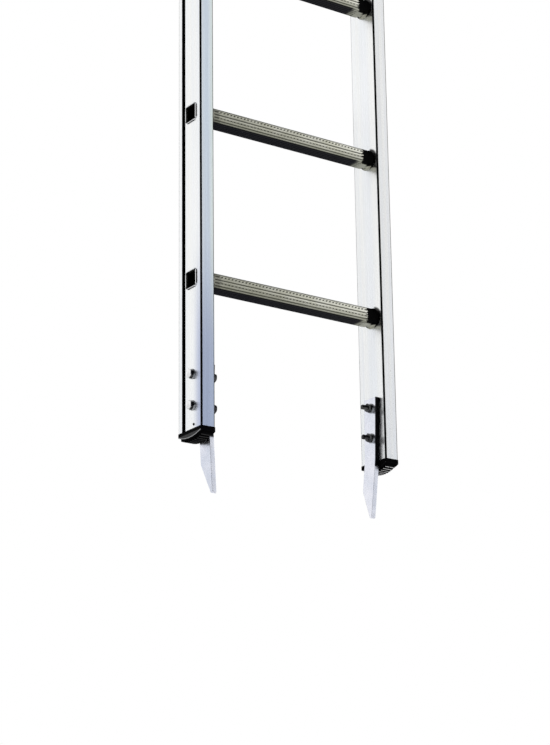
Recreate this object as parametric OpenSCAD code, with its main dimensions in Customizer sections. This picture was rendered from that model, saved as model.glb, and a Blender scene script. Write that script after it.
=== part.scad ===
// Two-section push-up extension ladder, stored with the fly section raised by three rungs.
// Millimetres, +Z up along the stiles, X along the rungs.
// Origin: on the ground between the spike tips, in the middle of the width and the depth.

/* [Stiles] */
// Overall width over the outer webs
ladder_w = 376; // [320:2:460]
// Thickness of a stile, across the ladder
stile_t = 25.5; // [22:0.5:32]
// Depth of a stile, front to back
stile_d = 65; // [60:1:80]
// Wall of the stile extrusion
stile_wall = 1.8; // [1.4:0.1:2.5]
// Outer corner radius of the stile extrusion
stile_r = 3; // [1.5:0.1:4]
// Gap between the base section and the fly section
section_gap = 4; // [3:0.5:8]

/* [Guide groove] */
// Width of the groove in the outer web
groove_w = 10; // [9:0.5:12]
// Depth of the groove
groove_depth = 6; // [5:0.5:8]
// Plain strip between the groove and the edge that faces the other section
groove_edge = 11; // [9:0.5:14]

/* [Rungs] */
// Rungs in each section
rung_count = 8; // [6:1:9]
// Rung spacing
rung_pitch = 280; // [250:5:300]
// Side of the square rung tube
rung_w = 27; // [25:0.5:28]
// Wall of the rung tube
rung_wall = 1.6; // [1.2:0.1:2.5]
// Corner radius of the rung tube
rung_r = 5; // [3:0.5:7]
// Rung axis behind the free narrow face of its stile
rung_y = 27; // [25:0.5:29]
// First base rung above the cut end of the stile
base_first_rung = 242; // [220:1:280]
// First fly rung above the cut end of the stile
fly_first_rung = 130; // [120:1:150]
// Stile above the last rung
stile_top = 138; // [120:1:180]

/* [Extension] */
// Rungs that the fly section is raised by, above its lowest place
raised_rungs = 3; // [0:1:5]

/* [Feet and spikes] */
// Lowest point of the rocker sole below the stile
foot_drop = 17.5; // [14:0.1:24]
// Lowest point of the side of the foot below the stile
foot_side_drop = 12.6; // [8:0.1:14]
// Height of the straight rim of the foot
foot_rim = 6; // [2:0.1:8]
// How far the feet and the end caps stand out past the stile
end_lip = 1; // [0:0.1:1.5]
// How far the ribbed sole is set in from the sides of the foot
sole_inset = 3.8; // [2:0.1:6]
// Ribs across the sole
foot_ribs = 10; // [5:1:12]
// Spike tip below the stile
spike_drop = 96; // [60:1:120]
// Spike plate above the cut end of the stile
spike_rise = 104; // [100:1:120]
// Thickness of the spike plate
spike_t = 8; // [6:0.5:10]
// How far the spike tip is bent inwards
spike_bend = 7.7; // [0:0.1:12]
// Heights of the two spike bolts above the cut end of the stile
spike_bolt_z = [37, 87];
// Thread past the nuts, on the left and on the right
thread_ends = [1.5, 10];
// Spike bolt axis behind the front face
spike_bolt_y = 25.5; // [20:0.5:28]

/* [Rung locks] */
// Lock pivot above the axis of the first fly rung
lock_rise = 50; // [46:1:56]
// Lock pivot behind the front plane of the fly section
lock_y = 29; // [28:0.5:32]
// Thickness of the lock plate
lock_t = 7; // [5:0.5:8]
// Angle from the engaged place to the parked place
lock_turn = 125; // [118:1:126]
// Angle from the closed place of the safety catch to its folded place
catch_turn = 155; // [140:1:158]

/* [Hidden] */
fit = 0.15;
running_fit = 0.05;
m8_r = 4;
m8_hole_r = 4.25;
m8_flats = 13;
m8_head_h = 5.3;
m8_nut_h = 6.5;
m8_washer_r = 8;
m8_washer_t = 1.6;
$fn = 48;

// Heights, from the ground up
base_z = spike_drop;
base_len = base_first_rung + (rung_count - 1) * rung_pitch + stile_top;
fly_len = fly_first_rung + (rung_count - 1) * rung_pitch + stile_top;
lock_rung_z = base_z + base_first_rung + raised_rungs * rung_pitch;
fly_z = lock_rung_z - fly_first_rung;

// Half width to the outer web and to the inner web
outer_x = ladder_w / 2;
inner_x = outer_x - stile_t;
// Free narrow face of each section, and the face that looks at the other section
free_y = stile_d + section_gap / 2;
facing_y = section_gap / 2;
rung_axis_y = free_y - rung_y;
groove_y = facing_y + groove_edge + groove_w / 2;

// Rung ends
rim_w = 31;
rim_t = 1.6;
bell_l = 9;
bell_r = 17.3;
plain_end = 20;
grip_count = 4;
grip_pitch = 5.2;
grip_w = 1.8;
grip_depth = 0.6;

// End plugs
plug_wall = 2.5;
cap_t = 3;
plug_len = 20;
foot_plug_len = 30;
foot_w = stile_d + 2 * end_lip;
sole_sag = 6.7;
sole_groove = 2.4;
snap_r = 2;
snap_y = 21;
snap_z = 6;

// Spike plate, from its front edge to its rear edge behind the front face of the stile
spike_y = [12.3, 46.9];
tip_r = 2.6;

// Guide brackets
guide_t = 4;
guide_h = 70;
guide_back = 30;
guide_lift = 0.6;
lip_w = 6;
lip_depth = 5;
fly_guide_z = fly_z + 62;
base_guide_z = base_z + base_len - 58;
rivet_y = [8, 26];
rivet_z = [-22, 22];
rivet_r = 2.4;
rivet_head_r = 4.8;
rivet_head_h = 1.8;
rivet_tail_r = 3.4;
rivet_tail_h = 2.2;

// Rung lock, measured from its pivot in the engaged place
lock_axis_y = facing_y + lock_y;
lock_axis_z = lock_rung_z + lock_rise;
lock_x = inner_x - bell_l - 0.3;
bush_r = 6;
bush_flange_r = 9;
rung_top = rung_w / 2 - lock_rise;
hook_gap = 0.3;
hook_front_r = 99.5;
hook_rear_r = 66.5;
hook_boss_r = 14;
hook_lip_angle = 31;
hook_nose_y = -97;
catch_at = [-44, -42];
catch_t = 4;
catch_pin_r = 3;
catch_under = 5;
catch_w = 7;

// ---- Outlines ----

function arc(centre, r, from, to, steps) =
    [for (i = [0:steps]) let (a = from + (to - from) * i / steps) centre + r * [cos(a), sin(a)]];

function round_rect(w, h, r, steps = 5) = concat(
    arc([w / 2 - r, h / 2 - r], r, 0, 90, steps),
    arc([r - w / 2, h / 2 - r], r, 90, 180, steps),
    arc([r - w / 2, r - h / 2], r, 180, 270, steps),
    arc([w / 2 - r, r - h / 2], r, 270, 360, steps)
);

// ---- Helpers ----

// A piece and its mirror image across the middle of the ladder
module both_sides() {
    children();
    mirror([1, 0, 0]) children();
}

// Extrudes an outline drawn in Y and Z along +X, from x0
module along_x(x0, length) {
    translate([x0, 0, 0])
        rotate([90, 0, 90])
            linear_extrude(length) children();
}

module rod_x(x0, length, r) {
    translate([x0, 0, 0])
        rotate([0, 90, 0])
            cylinder(h = length, r = r);
}

module hex_x(x0, length, flats) {
    translate([x0, 0, 0])
        rotate([0, 90, 0])
            cylinder(h = length, r = flats / sqrt(3), $fn = 6);
}

module washer_x(x0, thick, r_out, r_in) {
    difference() {
        rod_x(x0, thick, r_out);
        rod_x(x0 - 1, thick + 2, r_in);
    }
}

// ---- Stiles ----

// Cross-section of the right stile of the fly section, seen from above
module stile_outline() {
    difference() {
        translate([outer_x - stile_t / 2, facing_y + stile_d / 2])
            polygon(round_rect(stile_t, stile_d, stile_r));
        translate([outer_x - groove_depth, groove_y - groove_w / 2])
            square([groove_depth + 1, groove_w]);
    }
}

// Inside of the stile, shrunk by play where a plug goes in
module stile_cavity(play = 0) {
    inset = stile_wall + play;
    difference() {
        translate([inner_x + inset, facing_y + inset])
            square([stile_t - 2 * inset, stile_d - 2 * inset]);
        translate([outer_x - groove_depth - inset, groove_y - groove_w / 2 - inset])
            square([groove_depth + inset + 1, groove_w + 2 * inset]);
    }
}

module rung_holes(first) {
    for (i = [0:rung_count - 1])
        translate([0, rung_axis_y, first + i * rung_pitch])
            along_x(inner_x - 1, stile_t + 2)
                polygon(round_rect(rung_w + 2 * fit, rung_w + 2 * fit, rung_r));
}

// Right stile standing on z = 0, on the fly side
module stile(length, first) {
    difference() {
        linear_extrude(length) stile_outline();
        translate([0, 0, -1])
            linear_extrude(length + 2) stile_cavity();
        rung_holes(first);
        children();
    }
}

module base_stile() {
    color("lightgray")
        translate([0, 0, base_z])
            mirror([0, 1, 0])
                stile(base_len, base_first_rung) {
                    for (z = spike_bolt_z)
                        translate([0, free_y - spike_bolt_y, z])
                            rod_x(inner_x - 1, stile_t + 2, m8_hole_r);
                    translate([0, free_y - snap_y, snap_z])
                        rod_x(outer_x - stile_wall - 1, stile_wall + 2, snap_r + fit);
                    translate([0, 0, base_guide_z - base_z])
                        rivet_row(outer_x - stile_wall - 1, stile_wall + 2, rivet_r + running_fit);
                }
}

module fly_stile() {
    color("lightgray")
        translate([0, 0, fly_z])
            stile(fly_len, fly_first_rung) {
                translate([0, lock_axis_y, lock_axis_z - fly_z])
                    rod_x(inner_x - 1, stile_t + 2, m8_hole_r);
                translate([0, 0, fly_guide_z - fly_z])
                    rivet_row(outer_x - stile_wall - 1, stile_wall + 2, rivet_r + running_fit);
            }
}

// ---- Rungs ----

// Square tube with fine grip grooves on all four faces
module rung_outline() {
    difference() {
        polygon(round_rect(rung_w, rung_w, rung_r));
        for (turn = [0:90:270], i = [0:grip_count - 1])
            rotate(turn)
                translate([(i - (grip_count - 1) / 2) * grip_pitch - grip_w / 2, rung_w / 2 - grip_depth])
                    square([grip_w, grip_depth + 1]);
    }
}

// Profile of the flared bell at the end of a rung: radius and distance from the stile
function bell_profile() = concat(
    [[rung_w / 4, 0], [bell_r, 0], [bell_r, 0.6]],
    [for (i = [0:8]) let (a = 90 * i / 8)
        [bell_r - (bell_r - rung_w / 2) * sin(a), bell_l - (bell_l - 1.2) * cos(a) * (1 - i / 16)]],
    [[rung_w / 4, bell_l]]
);

// One rung: a tube swaged into both stiles, with a round bell inside and a flared rim outside
module rung() {
    bore_w = rung_w - 2 * rung_wall;
    difference() {
        union() {
            along_x(plain_end - inner_x, 2 * (inner_x - plain_end)) rung_outline();
            both_sides() {
                along_x(inner_x - plain_end, stile_t + plain_end)
                    polygon(round_rect(rung_w, rung_w, rung_r));
                translate([inner_x, 0, 0])
                    rotate([0, -90, 0])
                        rotate_extrude() polygon(bell_profile());
                along_x(outer_x, rim_t)
                    polygon(round_rect(rim_w, rim_w, rung_r + 1));
            }
        }
        along_x(-ladder_w, 2 * ladder_w)
            polygon(round_rect(bore_w, bore_w, rung_r - rung_wall));
    }
}

module base_rung(i) {
    color("darkkhaki")
        translate([0, -rung_axis_y, base_z + base_first_rung + (i - 1) * rung_pitch])
            rung();
}

module fly_rung(i) {
    color("darkkhaki")
        translate([0, rung_axis_y, fly_z + fly_first_rung + (i - 1) * rung_pitch])
            rung();
}

// ---- Feet, caps and plugs ----

// Hollow plug that goes up into a stile from z = 0
module plug(length) {
    difference() {
        linear_extrude(length) stile_cavity(fit);
        translate([0, 0, -1])
            linear_extrude(length + 2) stile_cavity(fit + plug_wall);
    }
}

// Block with a convex underside, seen from the side: sag is the rise of its arc
module rocker_outline(width, drop, sag) {
    half = width / 2;
    r = (half * half + sag * sag) / (2 * sag);
    spread = asin(half / r);
    polygon(concat(arc([0, r - drop], r, 270 - spread, 270 + spread, 36), [[half, 0], [-half, 0]]));
}

// Ribbed middle of the sole; the ribs run along X
module sole_outline() {
    rib_pitch = (stile_d - 6) / foot_ribs;
    difference() {
        rocker_outline(stile_d - 4, foot_drop, sole_sag);
        for (i = [1:foot_ribs - 1])
            translate([(i - foot_ribs / 2) * rib_pitch - sole_groove / 2, -foot_drop - 1])
                square([sole_groove, 1 + sole_sag * pow(2 * i / foot_ribs - 1, 2) + 1.8]);
    }
}

module foot() {
    color("dimgray")
        translate([0, 0, base_z])
            mirror([0, 1, 0]) {
                difference() {
                    intersection() {
                        translate([0, 0, -foot_drop - 1])
                            linear_extrude(foot_drop + 1) lipped_solid();
                        translate([0, facing_y + stile_d / 2, 0]) {
                            along_x(inner_x - end_lip, stile_t + 2 * end_lip)
                                rocker_outline(foot_w, foot_side_drop, foot_side_drop - foot_rim);
                            along_x(inner_x + sole_inset, stile_t - 2 * sole_inset) sole_outline();
                        }
                    }
                    foot_spike_notch();
                }
                difference() {
                    plug(foot_plug_len);
                    foot_bolt_notch();
                }
                translate([0, free_y - snap_y, snap_z]) {
                    rod_x(outer_x - stile_wall - plug_wall, stile_wall + plug_wall + 0.6, snap_r);
                    translate([outer_x + 0.6, 0, 0])
                        rotate([0, 90, 0])
                            cylinder(h = 0.8, r1 = snap_r, r2 = snap_r / 2);
                }
            }
}

// Room in the lip of the foot for the spike plate
module foot_spike_notch() {
    translate([inner_x - 2 * spike_t, free_y - spike_y[1] - 0.4, -foot_drop - 2])
        cube([2 * spike_t, spike_y[1] - spike_y[0] + 0.8, foot_drop + 3]);
}

// Room in the foot plug round the lower spike bolt
module foot_bolt_notch() {
    translate([0, free_y - spike_bolt_y, spike_bolt_z[0]])
        rod_x(inner_x - 1, stile_t + 2, m8_washer_r + 4);
}

// Outline of the right stile, grown by the lip of the feet and end caps
module lipped_solid() {
    translate([outer_x - stile_t / 2, facing_y + stile_d / 2])
        polygon(round_rect(stile_t + 2 * end_lip, stile_d + 2 * end_lip, stile_r + end_lip));
}

// Cap on the end of a stile: its plate above z = 0 and its plug below
module end_cap() {
    linear_extrude(cap_t) lipped_solid();
    mirror([0, 0, 1]) plug(plug_len);
}

module base_cap() {
    color("dimgray")
        translate([0, 0, base_z + base_len])
            mirror([0, 1, 0]) end_cap();
}

module fly_top_cap() {
    color("dimgray")
        translate([0, 0, fly_z + fly_len]) end_cap();
}

module fly_bottom_cap() {
    color("dimgray")
        translate([0, 0, fly_z])
            mirror([0, 0, 1]) end_cap();
}

// ---- Ground spikes ----

// Side view of the right spike of the base, from the bolts down to the tip
module spike_outline() {
    polygon([
        [spike_y[0], spike_rise], [41.9, spike_rise], [spike_y[1], -spike_drop / 2],
        each arc([23.8, tip_r - spike_drop], tip_r, 334, 183, 8)
    ]);
}

// Front view of the plate: straight along the stile, then bent inwards
module spike_bend_outline() {
    polygon([
        [0, spike_rise + 1], [-spike_t, spike_rise + 1], [-spike_t, 0],
        [-spike_t - spike_bend, -spike_drop - 1], [-spike_bend, -spike_drop - 1], [0, 0]
    ]);
}

module ground_spike() {
    color("silver")
        translate([0, -free_y, base_z])
            difference() {
                intersection() {
                    along_x(inner_x - 3 * spike_t, 4 * spike_t) spike_outline();
                    translate([inner_x, 0, 0])
                        rotate([90, 0, 0])
                            linear_extrude(4 * stile_d, center = true) spike_bend_outline();
                }
                for (z = spike_bolt_z)
                    translate([0, spike_bolt_y, z])
                        rod_x(inner_x - 2 * spike_t, 3 * spike_t, m8_hole_r);
            }
}

// Places a child at each spike bolt of the right side
module at_right_spike_bolts() {
    for (z = spike_bolt_z)
        translate([0, spike_bolt_y - free_y, base_z + z])
            children();
}

module at_spike_bolts() {
    both_sides() at_right_spike_bolts() children();
}

// Hexagon bolt through the stile and the spike plate, on the right side
module spike_bolt(thread_end) {
    clamped = stile_t + spike_t + m8_washer_t + m8_nut_h + thread_end;
    rod_x(outer_x - clamped, clamped + m8_washer_t, m8_r);
    hex_x(outer_x + m8_washer_t, m8_head_h, m8_flats);
}

module spike_bolts() {
    color("gray") {
        mirror([1, 0, 0]) at_right_spike_bolts() spike_bolt(thread_ends[0]);
        at_right_spike_bolts() spike_bolt(thread_ends[1]);
    }
}

module spike_head_washers() {
    color("silver")
        at_spike_bolts() washer_x(outer_x, m8_washer_t, m8_washer_r, m8_hole_r);
}

module spike_nut_washers() {
    color("silver")
        at_spike_bolts()
            washer_x(inner_x - spike_t - m8_washer_t, m8_washer_t, m8_washer_r, m8_hole_r);
}

module spike_nuts() {
    color("gray")
        at_spike_bolts()
            difference() {
                hex_x(inner_x - spike_t - m8_washer_t - m8_nut_h, m8_nut_h, m8_flats);
                rod_x(inner_x - 3 * spike_t, 3 * spike_t, m8_r + running_fit);
            }
}

// ---- Guide brackets ----

// Rivet places of one bracket, on the side of the section that carries it
module rivet_row(x0, length, r) {
    for (y = rivet_y, z = rivet_z)
        translate([0, groove_y + groove_w / 2 + y, z])
            rod_x(x0, length, r);
}

// Bracket fixed to the outer web of the fly stile, with a lip in the groove of the base stile
module guide() {
    back = groove_y + groove_w / 2 + guide_back + 2;
    front = -groove_y - lip_w / 2;
    corner = 8;
    difference() {
        intersection() {
            translate([0, 0, -guide_h / 2])
                linear_extrude(guide_h)
                    polygon([
                        [outer_x, facing_y], [outer_x + guide_lift, facing_y - 1],
                        [outer_x + guide_lift, front + lip_w], [outer_x - lip_depth, front + lip_w],
                        [outer_x - lip_depth, front], [outer_x + guide_t, front],
                        [outer_x + guide_t, back], [outer_x, back]
                    ]);
            along_x(outer_x - 10, 20)
                polygon([
                    [front, corner - guide_h / 2], [front + corner, -guide_h / 2],
                    [back - corner, -guide_h / 2], [back, corner - guide_h / 2],
                    [back, guide_h / 2 - corner], [back - corner, guide_h / 2],
                    [front + corner, guide_h / 2], [front, guide_h / 2 - corner]
                ]);
        }
        rivet_row(outer_x - 1, guide_t + 2, rivet_r + running_fit);
    }
}

module guide_rivets() {
    rivet_row(outer_x - stile_wall, guide_t + stile_wall, rivet_r);
    rivet_row(outer_x + guide_t, rivet_head_h, rivet_head_r);
    rivet_row(outer_x - stile_wall - rivet_tail_h, rivet_tail_h, rivet_tail_r);
}

module fly_guide() {
    color("slategray")
        translate([0, 0, fly_guide_z]) guide();
}

module base_guide() {
    color("slategray")
        translate([0, 0, base_guide_z])
            mirror([0, 1, 0]) guide();
}

module fly_guide_rivets() {
    color("silver")
        both_sides()
            translate([0, 0, fly_guide_z]) guide_rivets();
}

module base_guide_rivets() {
    color("silver")
        both_sides()
            translate([0, 0, base_guide_z])
                mirror([0, 1, 0]) guide_rivets();
}

// ---- Rung locks ----

// Puts the lock's own frame, engaged on the base rung, in its parked place
module at_lock() {
    translate([0, lock_axis_y, lock_axis_z])
        rotate([-lock_turn, 0, 0])
            children();
}

// A direction below the level of the pivot, on the side of the base section
function below(r, angle) = -r * [cos(angle), sin(angle)];

// Hook plate seen from the side, with the pivot at the origin and the engaged place as drawn
module lock_outline() {
    seat = rung_top + hook_gap;
    front_angle = asin(-seat / hook_front_r);
    rear_angle = asin(-seat / hook_rear_r);
    polygon(concat(
        [[hook_nose_y, -26], [hook_nose_y, -36], [-91, -53]],
        [for (i = [0:4]) below(hook_front_r, hook_lip_angle + (front_angle - hook_lip_angle) * i / 4)],
        [for (i = [0:8]) below(hook_rear_r, rear_angle + (56 - rear_angle) * i / 8)],
        [[-21, -33]],
        arc([0, 0], hook_boss_r, -75, 105, 18),
        [[-50, -4], [-85, -19]]
    ));
}

module rung_lock() {
    color("darkgray")
        at_lock()
            difference() {
                along_x(lock_x - lock_t, lock_t) lock_outline();
                rod_x(lock_x - 2 * lock_t, 3 * lock_t, bush_r + running_fit);
                translate([0, catch_at[0], catch_at[1]])
                    rod_x(lock_x - 2 * lock_t, 3 * lock_t, catch_pin_r + running_fit);
            }
}

// Shouldered bush on the pivot bolt: the wide end spaces the lock off the stile
module lock_bushes() {
    color("goldenrod")
        both_sides()
            translate([0, lock_axis_y, lock_axis_z])
                difference() {
                    union() {
                        rod_x(lock_x - lock_t - hook_gap, inner_x - lock_x + lock_t + hook_gap, bush_r);
                        rod_x(lock_x + hook_gap, inner_x - lock_x - hook_gap, bush_flange_r);
                    }
                    rod_x(lock_x - 2 * lock_t, 2 * lock_t + stile_t, m8_hole_r);
                }
}

module lock_washers() {
    color("silver")
        both_sides()
            translate([0, lock_axis_y, lock_axis_z]) {
                washer_x(lock_x - lock_t - hook_gap - m8_washer_t, m8_washer_t, m8_washer_r, m8_hole_r);
                washer_x(outer_x, m8_washer_t, m8_washer_r, m8_hole_r);
            }
}

module lock_nuts() {
    nut_x = lock_x - lock_t - hook_gap - m8_washer_t - m8_nut_h;
    color("gray")
        both_sides()
            translate([0, lock_axis_y, lock_axis_z])
                difference() {
                    hex_x(nut_x, m8_nut_h, m8_flats);
                    rod_x(nut_x - 1, m8_nut_h + 2, m8_r + running_fit);
                }
}

module lock_pivot_bolts() {
    end_x = lock_x - lock_t - hook_gap - m8_washer_t - m8_nut_h - 3;
    color("gray")
        both_sides()
            translate([0, lock_axis_y, lock_axis_z]) {
                rod_x(end_x, outer_x - end_x + m8_washer_t, m8_r);
                hex_x(outer_x + m8_washer_t, m8_head_h, m8_flats);
            }
}

// Pin riveted in the lock plate, on which the safety catch turns
module catch_pin() {
    reach = lock_t + catch_t + hook_gap;
    color("silver")
        at_lock()
            translate([0, catch_at[0], catch_at[1]]) {
                rod_x(lock_x - reach - hook_gap, reach + hook_gap, catch_pin_r);
                rod_x(lock_x - reach - hook_gap - 1.5, 1.5, catch_pin_r + 2);
            }
}

// Safety catch: an angled finger that closes the mouth of the lock under the base rung
module catch_outline() {
    drop = catch_at[1] + lock_rise + rung_w / 2 + catch_under;
    reach = 33;
    polygon(concat(
        arc([0, 0], catch_w, 0, 170, 12),
        [[-catch_w, 2 - drop], [3 - reach, 2 - drop], [-reach, -drop - 1], [3 - reach, -drop - catch_w]],
        [[2, -drop - catch_w], [catch_w, -drop]]
    ));
}

module safety_catch() {
    color("orange")
        at_lock()
            translate([0, catch_at[0], catch_at[1]])
                rotate([catch_turn, 0, 0])
                    difference() {
                        along_x(lock_x - lock_t - hook_gap - catch_t, catch_t) catch_outline();
                        rod_x(lock_x - 2 * lock_t, 2 * lock_t, catch_pin_r + running_fit);
                    }
}

// ---- The nodes ----

mirror([1, 0, 0]) base_stile();  // base_stile_left
base_stile();  // base_stile_right
for (i = [1:rung_count]) base_rung(i);
mirror([1, 0, 0]) foot();  // foot_left
foot();  // foot_right
mirror([1, 0, 0]) ground_spike();  // ground_spike_left
ground_spike();  // ground_spike_right
spike_bolts();
spike_head_washers();
spike_nut_washers();
spike_nuts();
mirror([1, 0, 0]) base_guide();  // base_guide_left
base_guide();  // base_guide_right
base_guide_rivets();
mirror([1, 0, 0]) base_cap();  // base_cap_left
base_cap();  // base_cap_right
mirror([1, 0, 0]) fly_stile();  // fly_stile_left
fly_stile();  // fly_stile_right
for (i = [1:rung_count]) fly_rung(i);
mirror([1, 0, 0]) fly_guide();  // fly_guide_left
fly_guide();  // fly_guide_right
fly_guide_rivets();
mirror([1, 0, 0]) fly_bottom_cap();  // fly_bottom_cap_left
fly_bottom_cap();  // fly_bottom_cap_right
mirror([1, 0, 0]) fly_top_cap();  // fly_top_cap_left
fly_top_cap();  // fly_top_cap_right
lock_pivot_bolts();
lock_bushes();
lock_washers();
lock_nuts();
mirror([1, 0, 0]) rung_lock();  // rung_lock_left
rung_lock();  // rung_lock_right
mirror([1, 0, 0]) catch_pin();  // catch_pin_left
catch_pin();  // catch_pin_right
mirror([1, 0, 0]) safety_catch();  // safety_catch_left
safety_catch();  // safety_catch_right
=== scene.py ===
"""Looks of the two-section extension ladder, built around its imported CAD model."""

import math

import bmesh
import bpy
from mathutils import Matrix, Vector


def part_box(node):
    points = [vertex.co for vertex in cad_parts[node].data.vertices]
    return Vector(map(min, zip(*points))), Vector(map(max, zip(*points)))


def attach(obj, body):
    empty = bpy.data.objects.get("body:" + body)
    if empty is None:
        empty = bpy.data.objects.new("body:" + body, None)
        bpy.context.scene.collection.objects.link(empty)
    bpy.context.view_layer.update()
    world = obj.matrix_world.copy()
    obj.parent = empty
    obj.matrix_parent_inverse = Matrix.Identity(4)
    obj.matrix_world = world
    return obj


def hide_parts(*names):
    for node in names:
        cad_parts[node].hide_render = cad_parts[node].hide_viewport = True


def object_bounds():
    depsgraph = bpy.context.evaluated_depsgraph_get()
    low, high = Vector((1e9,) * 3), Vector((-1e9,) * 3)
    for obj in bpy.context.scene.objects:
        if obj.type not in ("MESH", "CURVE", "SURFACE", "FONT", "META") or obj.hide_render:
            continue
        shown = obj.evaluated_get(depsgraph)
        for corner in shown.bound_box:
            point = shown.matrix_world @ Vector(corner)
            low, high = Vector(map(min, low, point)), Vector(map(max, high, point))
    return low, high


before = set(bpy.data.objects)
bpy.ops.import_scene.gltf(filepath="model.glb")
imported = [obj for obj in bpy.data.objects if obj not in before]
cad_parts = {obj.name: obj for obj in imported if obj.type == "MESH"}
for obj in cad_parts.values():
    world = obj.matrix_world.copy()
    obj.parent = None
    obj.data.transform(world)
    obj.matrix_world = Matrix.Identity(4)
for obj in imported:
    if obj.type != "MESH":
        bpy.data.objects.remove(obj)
cad_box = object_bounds()
MM = 0.001
SIDES = {"left": -1, "right": 1}

# ---- Places and sizes that the CAD model gives ----

stile_low, stile_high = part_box("base_stile_right")
INNER_X = stile_low.x
OUTER_X = stile_high.x
CUT_Z = stile_low.z
FRONT_Y = stile_low.y
FIRST_RUNG_Z = sum(corner.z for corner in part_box("base_rung_1")) / 2
FOOT_LOW_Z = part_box("foot_right")[0].z

# ---- Sizes that repeat those of part.scad ----

RUNG_PITCH = 280 * MM
RUNG_W = 27 * MM
RUNG_R = 5 * MM
BORE_W = 23.8 * MM
BORE_R = 3.4 * MM
BELL_L = 9 * MM
BELL_R = 17.3 * MM
FOOT_RIBS = 10
SPIKE_T = 8 * MM
SPIKE_TOP_Z = CUT_Z + 104 * MM
SPIKE_EDGE_Y = FRONT_Y + 12.3 * MM
SPIKE_LEAN = 8.9 / 197


def rocker_arc(width, low_z, sag):
    """Centre (Y and Z) and radius of the arc under a foot."""
    radius = (width * width / 4 + sag * sag) / (2 * sag)
    return (stile_low.y + stile_high.y) / 2, low_z + radius, radius


SIDE_ARC = rocker_arc(67 * MM, CUT_Z - 12.6 * MM, 6.6 * MM)
SOLE_ARC = rocker_arc(61 * MM, FOOT_LOW_Z, 6.7 * MM)

# ---- Sizes of the looks alone ----

# The painted shade in the guide groove, a little larger than the real one
GROOVE_DEEP = 9 * MM
GROOVE_NEAR = 12.9 * MM
GROOVE_FAR = 23.1 * MM
# The length of the sole that the ribs share
FOOT_RIBBED = 59 * MM
# The length of each rung that has no grip, at its left and right ends
PLAIN_ENDS = {"left": 10 * MM, "right": 20 * MM}

# ---- Camera: the photograph's viewing angle, from below the foot of the ladder ----

CAMERA_AZIMUTH = math.radians(-35.08)
CAMERA_ELEVATION = math.radians(-17.64)
CAMERA_ROLL = math.radians(-0.77)
CAMERA_DISTANCE = 3.438
CAMERA_LENS = 106.8
LOOK_AT = Vector((-0.051, -0.067, 0.202))
CAMERA_SIDE = Vector((math.sin(CAMERA_AZIMUTH), -math.cos(CAMERA_AZIMUTH), 0))


def add_camera():
    back = CAMERA_SIDE * math.cos(CAMERA_ELEVATION) + Vector((0, 0, math.sin(CAMERA_ELEVATION)))
    right = (-back).cross(Vector((0, 0, 1))).normalized()
    axes = Matrix((right, back.cross(right), back)).transposed()
    data = bpy.data.cameras.new("camera")
    data.lens = CAMERA_LENS
    data.sensor_width = 36
    data.clip_end = 100
    camera = bpy.data.objects.new("camera", data)
    camera.matrix_world = (
        Matrix.Translation(LOOK_AT + back * CAMERA_DISTANCE)
        @ axes.to_4x4()
        @ Matrix.Rotation(CAMERA_ROLL, 4, "Z")
    )
    bpy.context.scene.collection.objects.link(camera)
    bpy.context.scene.camera = camera


add_camera()


# ---- Shader nodes ----


class Nodes:
    """Adds and joins the shader nodes of one node tree."""

    def __init__(self, tree):
        self.tree = tree

    def add(self, kind, inputs=None, **settings):
        node = self.tree.nodes.new("ShaderNode" + kind)
        for name, value in settings.items():
            setattr(node, name, value)
        for name, value in (inputs or {}).items():
            self.put(node.inputs[name], value)
        return node

    def put(self, socket, value):
        """Links a node's output to the socket, or sets the socket to a value."""
        if isinstance(value, bpy.types.NodeSocket):
            self.tree.links.new(value, socket)
        elif socket.type == "RGBA" and len(value) == 3:
            socket.default_value = (*value, 1)
        else:
            socket.default_value = value

    def calc(self, operation, a, b=0.0):
        return self.add("Math", {0: a, 1: b}, operation=operation).outputs[0]

    def span(self, value, low, high, start=0.0, end=1.0):
        """Goes smoothly from start to end while the value goes from low to high."""
        inputs = {"Value": value, "From Min": low, "From Max": high, "To Min": start, "To Max": end}
        return self.add("MapRange", inputs, interpolation_type="SMOOTHSTEP").outputs["Result"]

    def mix(self, share, a, b):
        node = self.add("Mix", {0: share}, data_type="RGBA", blend_type="MIX")
        self.put(node.inputs[6], a)
        self.put(node.inputs[7], b)
        return node.outputs[2]

    def band(self, value, low, high, edge):
        """Is 1 while the value is between low and high, and 0 beyond an edge of that width."""
        rise = self.span(value, low - edge, low)
        return self.product(rise, self.span(value, high, high + edge, 1.0, 0.0))

    def product(self, *factors):
        result = factors[0]
        for factor in factors[1:]:
            result = self.calc("MULTIPLY", result, factor)
        return result

    def dot(self, vector, direction):
        return self.add("VectorMath", {0: vector, 1: direction}, operation="DOT_PRODUCT").outputs["Value"]


NOISE_ROUGHNESS = 0.55
SEED_SPREAD = 50.0


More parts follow.
